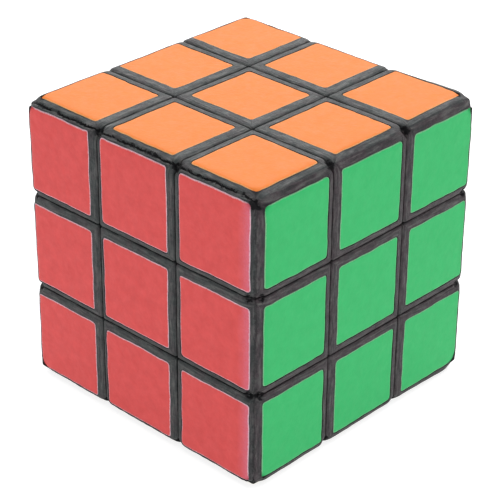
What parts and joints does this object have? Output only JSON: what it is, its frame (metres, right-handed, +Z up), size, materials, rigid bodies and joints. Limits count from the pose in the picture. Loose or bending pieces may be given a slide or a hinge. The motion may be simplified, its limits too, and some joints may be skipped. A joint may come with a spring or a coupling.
{
  "type": "twisty puzzle cube",
  "caption": "Palm-size twisty puzzle cube: black rounded pieces with flush coloured square tiles, six turning layers on a hidden screwed core.",
  "frame": {"origin": "centre of the cube, where the three turning axes cross", "axes": "+Z up through the orange centre, +X through the green centre (right), -Y through the red centre (front)"},
  "size_m": [0.057, 0.057, 0.057],
  "materials": {
    "body_black": "satin, fine moulded grain",
    "tile_orange": "satin",
    "tile_red": "satin",
    "tile_green": "satin",
    "tile_blue": "satin",
    "tile_white": "satin",
    "tile_yellow": "satin",
    "tile_set": null,
    "core_plastic": "natural moulded nylon",
    "screw_steel": "zinc plated",
    "washer_steel": "zinc plated",
    "spring_steel": "drawn wire"
  },
  "bodies": {
    "core": {"core_spider": "core_plastic", "axle_screws": "screw_steel", "screw_washers": "washer_steel", "tension_springs": "spring_steel"},
    "centre_up": {"centre_hub_up": "body_black", "centre_cap_up": "tile_orange"},
    "centre_down": {"centre_hub_down": "body_black", "centre_cap_down": "tile_yellow"},
    "centre_right": {"centre_hub_right": "body_black", "centre_cap_right": "tile_green"},
    "centre_left": {"centre_hub_left": "body_black", "centre_cap_left": "tile_blue"},
    "centre_back": {"centre_hub_back": "body_black", "centre_cap_back": "tile_white"},
    "centre_front": {"centre_hub_front": "body_black", "centre_cap_front": "tile_red"},
    "edge_up_back": {"edge_up_back": "body_black", "edge_up_back_tiles": "tile_set"},
    "edge_up_left": {"edge_up_left": "body_black", "edge_up_left_tiles": "tile_set"},
    "edge_up_front": {"edge_up_front": "body_black", "edge_up_front_tiles": "tile_set"},
    "edge_up_right": {"edge_up_right": "body_black", "edge_up_right_tiles": "tile_set"},
    "edge_down_front": {"edge_down_front": "body_black", "edge_down_front_tiles": "tile_set"},
    "edge_down_right": {"edge_down_right": "body_black", "edge_down_right_tiles": "tile_set"},
    "edge_down_back": {"edge_down_back": "body_black", "edge_down_back_tiles": "tile_set"},
    "edge_down_left": {"edge_down_left": "body_black", "edge_down_left_tiles": "tile_set"},
    "edge_back_right": {"edge_back_right": "body_black", "edge_back_right_tiles": "tile_set"},
    "edge_back_left": {"edge_back_left": "body_black", "edge_back_left_tiles": "tile_set"},
    "edge_front_left": {"edge_front_left": "body_black", "edge_front_left_tiles": "tile_set"},
    "edge_front_right": {"edge_front_right": "body_black", "edge_front_right_tiles": "tile_set"},
    "corner_up_back_right": {"corner_up_back_right": "body_black", "corner_up_back_right_tiles": "tile_set"},
    "corner_up_back_left": {"corner_up_back_left": "body_black", "corner_up_back_left_tiles": "tile_set"},
    "corner_up_front_left": {"corner_up_front_left": "body_black", "corner_up_front_left_tiles": "tile_set"},
    "corner_up_front_right": {"corner_up_front_right": "body_black", "corner_up_front_right_tiles": "tile_set"},
    "corner_down_front_right": {"corner_down_front_right": "body_black", "corner_down_front_right_tiles": "tile_set"},
    "corner_down_back_right": {"corner_down_back_right": "body_black", "corner_down_back_right_tiles": "tile_set"},
    "corner_down_back_left": {"corner_down_back_left": "body_black", "corner_down_back_left_tiles": "tile_set"},
    "corner_down_front_left": {"corner_down_front_left": "body_black", "corner_down_front_left_tiles": "tile_set"}
  },
  "joints": [
    {"name": "up_turn", "type": "hinge", "parent": "core", "child": "centre_up", "pos_m": [0, 0, 0], "axis": [0, 0, 1], "continuous": true},
    {"name": "down_turn", "type": "hinge", "parent": "core", "child": "centre_down", "pos_m": [0, 0, 0], "axis": [0, 0, 1], "continuous": true},
    {"name": "right_turn", "type": "hinge", "parent": "core", "child": "centre_right", "pos_m": [0, 0, 0], "axis": [1, 0, 0], "continuous": true},
    {"name": "left_turn", "type": "hinge", "parent": "core", "child": "centre_left", "pos_m": [0, 0, 0], "axis": [1, 0, 0], "continuous": true},
    {"name": "back_turn", "type": "hinge", "parent": "core", "child": "centre_back", "pos_m": [0, 0, 0], "axis": [0, 1, 0], "continuous": true},
    {"name": "front_turn", "type": "hinge", "parent": "core", "child": "centre_front", "pos_m": [0, 0, 0], "axis": [0, 1, 0], "continuous": true},
    {"name": "edge_up_back_turn", "type": "hinge", "parent": "centre_up", "child": "edge_up_back", "pos_m": [0, 0, 0], "axis": [0, 1, 0], "continuous": true},
    {"name": "edge_up_left_turn", "type": "hinge", "parent": "centre_left", "child": "edge_up_left", "pos_m": [0, 0, 0], "axis": [0, 0, 1], "continuous": true},
    {"name": "edge_up_front_turn", "type": "hinge", "parent": "centre_up", "child": "edge_up_front", "pos_m": [0, 0, 0], "axis": [0, 1, 0], "continuous": true},
    {"name": "edge_up_right_turn", "type": "hinge", "parent": "centre_right", "child": "edge_up_right", "pos_m": [0, 0, 0], "axis": [0, 0, 1], "continuous": true},
    {"name": "edge_down_front_turn", "type": "hinge", "parent": "centre_down", "child": "edge_down_front", "pos_m": [0, 0, 0], "axis": [0, 1, 0], "continuous": true},
    {"name": "edge_down_right_turn", "type": "hinge", "parent": "centre_right", "child": "edge_down_right", "pos_m": [0, 0, 0], "axis": [0, 0, 1], "continuous": true},
    {"name": "edge_down_back_turn", "type": "hinge", "parent": "centre_down", "child": "edge_down_back", "pos_m": [0, 0, 0], "axis": [0, 1, 0], "continuous": true},
    {"name": "edge_down_left_turn", "type": "hinge", "parent": "centre_left", "child": "edge_down_left", "pos_m": [0, 0, 0], "axis": [0, 0, 1], "continuous": true},
    {"name": "edge_back_right_turn", "type": "hinge", "parent": "centre_back", "child": "edge_back_right", "pos_m": [0, 0, 0], "axis": [1, 0, 0], "continuous": true},
    {"name": "edge_back_left_turn", "type": "hinge", "parent": "centre_back", "child": "edge_back_left", "pos_m": [0, 0, 0], "axis": [1, 0, 0], "continuous": true},
    {"name": "edge_front_left_turn", "type": "hinge", "parent": "centre_front", "child": "edge_front_left", "pos_m": [0, 0, 0], "axis": [1, 0, 0], "continuous": true},
    {"name": "edge_front_right_turn", "type": "hinge", "parent": "centre_front", "child": "edge_front_right", "pos_m": [0, 0, 0], "axis": [1, 0, 0], "continuous": true},
    {"name": "corner_up_back_right_turn", "type": "hinge", "parent": "edge_up_back", "child": "corner_up_back_right", "pos_m": [0, 0, 0], "axis": [1, 0, 0], "continuous": true},
    {"name": "corner_up_back_left_turn", "type": "hinge", "parent": "edge_up_back", "child": "corner_up_back_left", "pos_m": [0, 0, 0], "axis": [1, 0, 0], "continuous": true},
    {"name": "corner_up_front_left_turn", "type": "hinge", "parent": "edge_up_front", "child": "corner_up_front_left", "pos_m": [0, 0, 0], "axis": [1, 0, 0], "continuous": true},
    {"name": "corner_up_front_right_turn", "type": "hinge", "parent": "edge_up_front", "child": "corner_up_front_right", "pos_m": [0, 0, 0], "axis": [1, 0, 0], "continuous": true},
    {"name": "corner_down_front_right_turn", "type": "hinge", "parent": "edge_down_front", "child": "corner_down_front_right", "pos_m": [0, 0, 0], "axis": [1, 0, 0], "continuous": true},
    {"name": "corner_down_back_right_turn", "type": "hinge", "parent": "edge_down_back", "child": "corner_down_back_right", "pos_m": [0, 0, 0], "axis": [1, 0, 0], "continuous": true},
    {"name": "corner_down_back_left_turn", "type": "hinge", "parent": "edge_down_back", "child": "corner_down_back_left", "pos_m": [0, 0, 0], "axis": [1, 0, 0], "continuous": true},
    {"name": "corner_down_front_left_turn", "type": "hinge", "parent": "edge_down_front", "child": "corner_down_front_left", "pos_m": [0, 0, 0], "axis": [1, 0, 0], "continuous": true}
  ],
  "couplings": [
    {"joint": "edge_up_back_turn", "follows": "back_turn", "ratio": 1},
    {"joint": "edge_up_left_turn", "follows": "up_turn", "ratio": 1},
    {"joint": "edge_up_front_turn", "follows": "front_turn", "ratio": 1},
    {"joint": "edge_up_right_turn", "follows": "up_turn", "ratio": 1},
    {"joint": "edge_down_front_turn", "follows": "front_turn", "ratio": 1},
    {"joint": "edge_down_right_turn", "follows": "down_turn", "ratio": 1},
    {"joint": "edge_down_back_turn", "follows": "back_turn", "ratio": 1},
    {"joint": "edge_down_left_turn", "follows": "down_turn", "ratio": 1},
    {"joint": "edge_back_right_turn", "follows": "right_turn", "ratio": 1},
    {"joint": "edge_back_left_turn", "follows": "left_turn", "ratio": 1},
    {"joint": "edge_front_left_turn", "follows": "left_turn", "ratio": 1},
    {"joint": "edge_front_right_turn", "follows": "right_turn", "ratio": 1},
    {"joint": "corner_up_back_right_turn", "follows": "right_turn", "ratio": 1},
    {"joint": "corner_up_back_left_turn", "follows": "left_turn", "ratio": 1},
    {"joint": "corner_up_front_left_turn", "follows": "left_turn", "ratio": 1},
    {"joint": "corner_up_front_right_turn", "follows": "right_turn", "ratio": 1},
    {"joint": "corner_down_front_right_turn", "follows": "right_turn", "ratio": 1},
    {"joint": "corner_down_back_right_turn", "follows": "right_turn", "ratio": 1},
    {"joint": "corner_down_back_left_turn", "follows": "left_turn", "ratio": 1},
    {"joint": "corner_down_front_left_turn", "follows": "left_turn", "ratio": 1}
  ]
}
